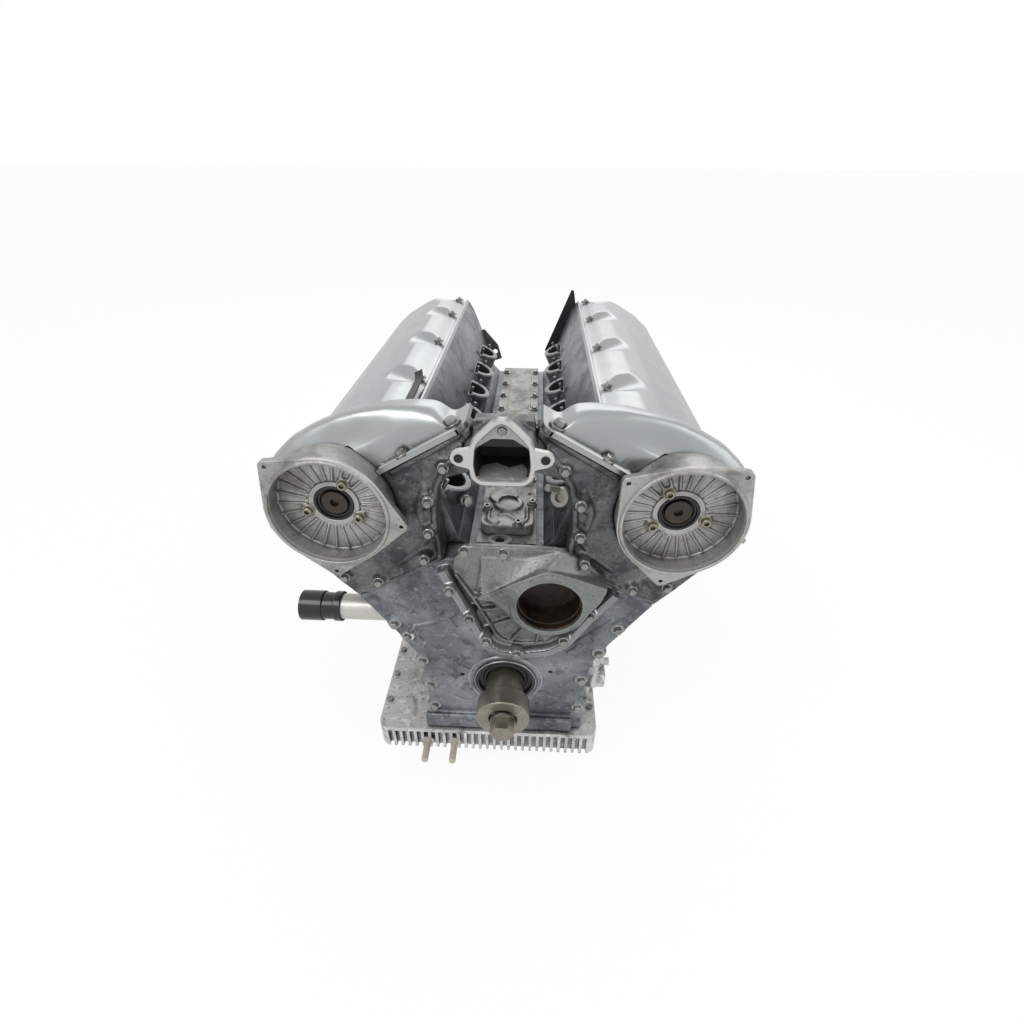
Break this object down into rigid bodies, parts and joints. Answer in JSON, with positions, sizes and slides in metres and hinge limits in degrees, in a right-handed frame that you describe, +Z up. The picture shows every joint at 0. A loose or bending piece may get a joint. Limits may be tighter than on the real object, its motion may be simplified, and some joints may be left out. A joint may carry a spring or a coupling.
{
  "type": "v-twelve engine",
  "caption": "Sixty-degree vee engine long block with long cam covers, round distributor housings at the front of each bank, a coolant pump bore, a crank hub and a finned oil pan.",
  "frame": {"origin": "centre of the crankshaft's rear flange face", "axes": "+Y from the timing cover towards the gearbox along the crankshaft, +Z up, +X towards the right-hand bank"},
  "size_m": [0.5548, 0.745, 0.606],
  "materials": {
    "cast_alloy": "rough cast",
    "dark_alloy": "rough cast, dull",
    "cover_alloy": "satin",
    "dish_alloy": "fine cast",
    "pan_alloy": "rough cast",
    "pump_alloy": "stained cast",
    "piston_alloy": "machined",
    "steel": "machined",
    "bolt_steel": "zinc plated",
    "chain_steel": "oiled",
    "liner_iron": "honed",
    "black_steel": "satin black",
    "brass": "dull",
    "seal_rubber": "matt",
    "gasket": "matt",
    "guide_plastic": "matt",
    "cap_plastic": "glossy",
    "pin_plastic": "matt"
  },
  "bodies": {
    "engine": {"cylinder_block": "cast_alloy", "cylinder_liners": "liner_iron", "main_bearing_caps": "steel", "main_bearing_shells": "steel", "crank_front_seal": "seal_rubber", "rear_seal_carrier": "cast_alloy", "right_timing_chain": "chain_steel", "left_timing_chain": "chain_steel", "chain_guides": "guide_plastic", "valves": "steel", "valve_springs": "steel", "tappets": "steel", "right_cylinder_head": "cast_alloy", "left_cylinder_head": "cast_alloy", "head_gaskets": "gasket", "cam_bearing_caps": "cover_alloy", "right_cam_cover": "cover_alloy", "left_cam_cover": "cover_alloy", "cam_cover_bolts": "bolt_steel", "right_chain_housing": "dark_alloy", "left_chain_housing": "dark_alloy", "right_distributor_housing": "dish_alloy", "left_distributor_housing": "dish_alloy", "distributor_screws": "brass", "timing_cover": "cast_alloy", "water_pump_housing": "pump_alloy", "front_cover_bolts": "bolt_steel", "coolant_outlet": "cast_alloy", "valley_cover": "cast_alloy", "valley_front_cover": "cover_alloy", "valley_bolts": "bolt_steel", "oil_pan": "pan_alloy", "oil_pan_pins": "pin_plastic", "oil_pan_bolts": "bolt_steel", "filler_neck": "cover_alloy", "filler_cap": "cap_plastic", "side_bracket": "dark_alloy", "rear_shroud": "black_steel", "lifting_eye": "black_steel", "hose_bracket": "black_steel"},
    "crank": {"crankshaft": "steel", "crank_sprocket": "chain_steel", "crank_hub": "steel", "crank_bolt": "steel"},
    "right_exhaust_cam": {"right_exhaust_camshaft": "steel"},
    "right_intake_cam": {"right_intake_camshaft": "steel"},
    "left_exhaust_cam": {"left_exhaust_camshaft": "steel"},
    "left_intake_cam": {"left_intake_camshaft": "steel"},
    "right_pistons_1_6": {"pistons_right_1_6": "piston_alloy", "rods_right_1_6": "steel"},
    "right_pistons_2_5": {"pistons_right_2_5": "piston_alloy", "rods_right_2_5": "steel"},
    "right_pistons_3_4": {"pistons_right_3_4": "piston_alloy", "rods_right_3_4": "steel"},
    "left_pistons_1_6": {"pistons_left_1_6": "piston_alloy", "rods_left_1_6": "steel"},
    "left_pistons_2_5": {"pistons_left_2_5": "piston_alloy", "rods_left_2_5": "steel"},
    "left_pistons_3_4": {"pistons_left_3_4": "piston_alloy", "rods_left_3_4": "steel"}
  },
  "joints": [
    {"name": "crank_spin", "type": "hinge", "parent": "engine", "child": "crank", "pos_m": [0, 0, 0], "axis": [0, 1, 0], "continuous": true},
    {"name": "right_exhaust_cam_spin", "type": "hinge", "parent": "engine", "child": "right_exhaust_cam", "pos_m": [0.19036, -0.3, 0.29112], "axis": [0, 1, 0], "continuous": true},
    {"name": "right_intake_cam_spin", "type": "hinge", "parent": "engine", "child": "right_intake_cam", "pos_m": [0.12974, -0.3, 0.32612], "axis": [0, 1, 0], "continuous": true},
    {"name": "right_pistons_1_6_slide", "type": "slide", "parent": "engine", "child": "right_pistons_1_6", "axis": [0.5, 0, 0.866], "range_m": [-0.08, 0]},
    {"name": "right_pistons_2_5_slide", "type": "slide", "parent": "engine", "child": "right_pistons_2_5", "axis": [0.5, 0, 0.866], "range_m": [-0.016, 0.0639]},
    {"name": "right_pistons_3_4_slide", "type": "slide", "parent": "engine", "child": "right_pistons_3_4", "axis": [0.5, 0, 0.866], "range_m": [-0.016, 0.0639]},
    {"name": "left_exhaust_cam_spin", "type": "hinge", "parent": "engine", "child": "left_exhaust_cam", "pos_m": [-0.19036, -0.3, 0.29112], "axis": [0, 1, 0], "continuous": true},
    {"name": "left_intake_cam_spin", "type": "hinge", "parent": "engine", "child": "left_intake_cam", "pos_m": [-0.12974, -0.3, 0.32612], "axis": [0, 1, 0], "continuous": true},
    {"name": "left_pistons_1_6_slide", "type": "slide", "parent": "engine", "child": "left_pistons_1_6", "axis": [-0.5, 0, 0.866], "range_m": [-0.056, 0.0239]},
    {"name": "left_pistons_2_5_slide", "type": "slide", "parent": "engine", "child": "left_pistons_2_5", "axis": [-0.5, 0, 0.866], "range_m": [0, 0.08]},
    {"name": "left_pistons_3_4_slide", "type": "slide", "parent": "engine", "child": "left_pistons_3_4", "axis": [-0.5, 0, 0.866], "range_m": [-0.056, 0.0239]}
  ],
  "couplings": [
    {"joint": "right_exhaust_cam_spin", "follows": "crank_spin", "ratio": 0.5},
    {"joint": "right_intake_cam_spin", "follows": "crank_spin", "ratio": -0.5},
    {"joint": "left_exhaust_cam_spin", "follows": "crank_spin", "ratio": 0.5},
    {"joint": "left_intake_cam_spin", "follows": "crank_spin", "ratio": -0.5}
  ]
}
